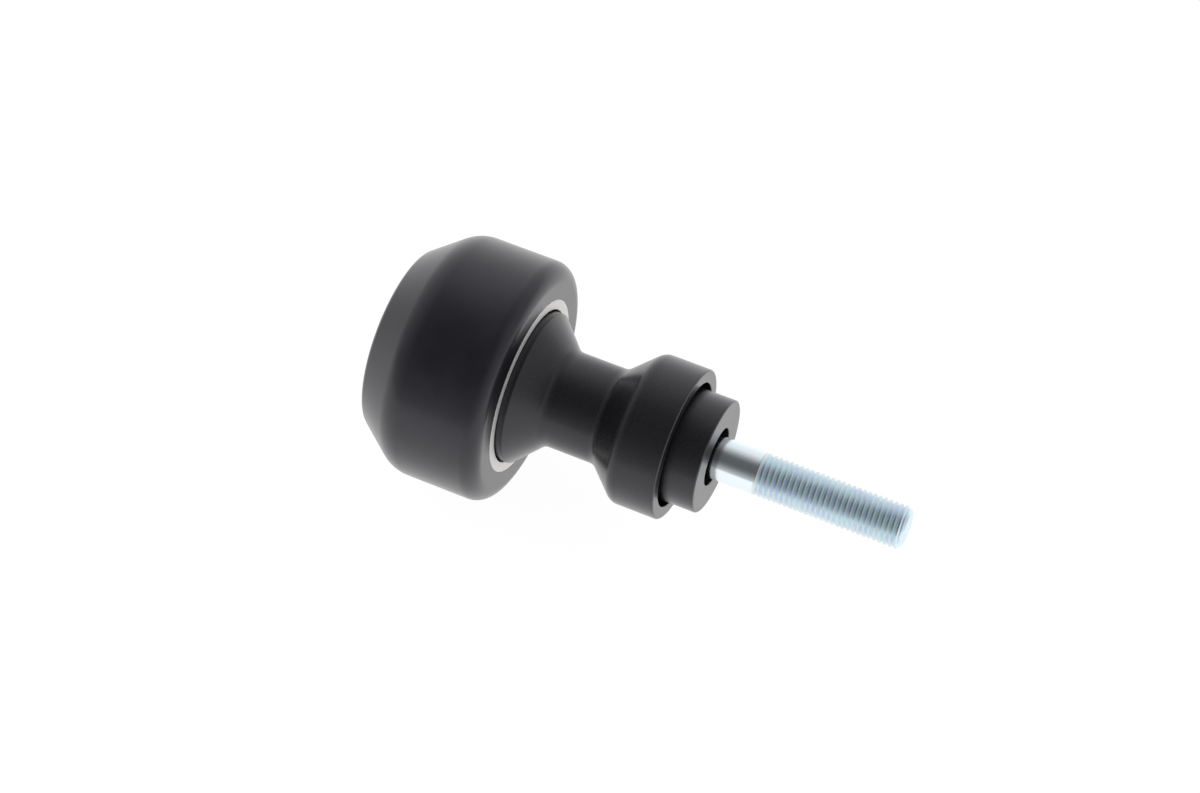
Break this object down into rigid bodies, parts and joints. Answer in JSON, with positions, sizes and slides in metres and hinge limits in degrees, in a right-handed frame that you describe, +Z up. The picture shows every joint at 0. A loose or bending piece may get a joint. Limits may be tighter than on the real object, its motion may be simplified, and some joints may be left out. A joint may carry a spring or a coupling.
{
  "type": "motorcycle frame slider",
  "caption": "Black nylon bobbin with a coned nose on a waisted spindle, with a flush metal ring, a spigot bush and a zinc-plated bolt that fixes it to a motorcycle frame.",
  "frame": {"origin": "where the slider's axis meets the bush's end face, which seats on the motorcycle's frame", "axes": "+Y points outward from the motorcycle along the slider's axis, from the seat to the bobbin's nose, +Z is up and +X lies along the motorcycle"},
  "size_m": [0.0576, 0.1238, 0.0576],
  "materials": {
    "bobbin_nylon": "satin black moulded nylon",
    "insert_aluminium": "bare turned aluminium",
    "anodised_aluminium": "black anodised over fine turned grain",
    "zinc_steel": "bright blue-white zinc plate"
  },
  "bodies": {
    "slider": {"bobbin": "bobbin_nylon", "insert": "insert_aluminium", "spindle": "anodised_aluminium", "spigot_bush": "anodised_aluminium"},
    "washer": {"washer": "zinc_steel"},
    "bolt": {"bolt": "zinc_steel"}
  },
  "joints": [
    {"name": "bolt_draw", "type": "slide", "parent": "slider", "child": "washer", "axis": [0, 1, 0], "range_m": [0, 0.13]},
    {"name": "bolt_turn", "type": "hinge", "parent": "washer", "child": "bolt", "pos_m": [0, 0.0594, 0], "axis": [0, 1, 0], "continuous": true}
  ]
}
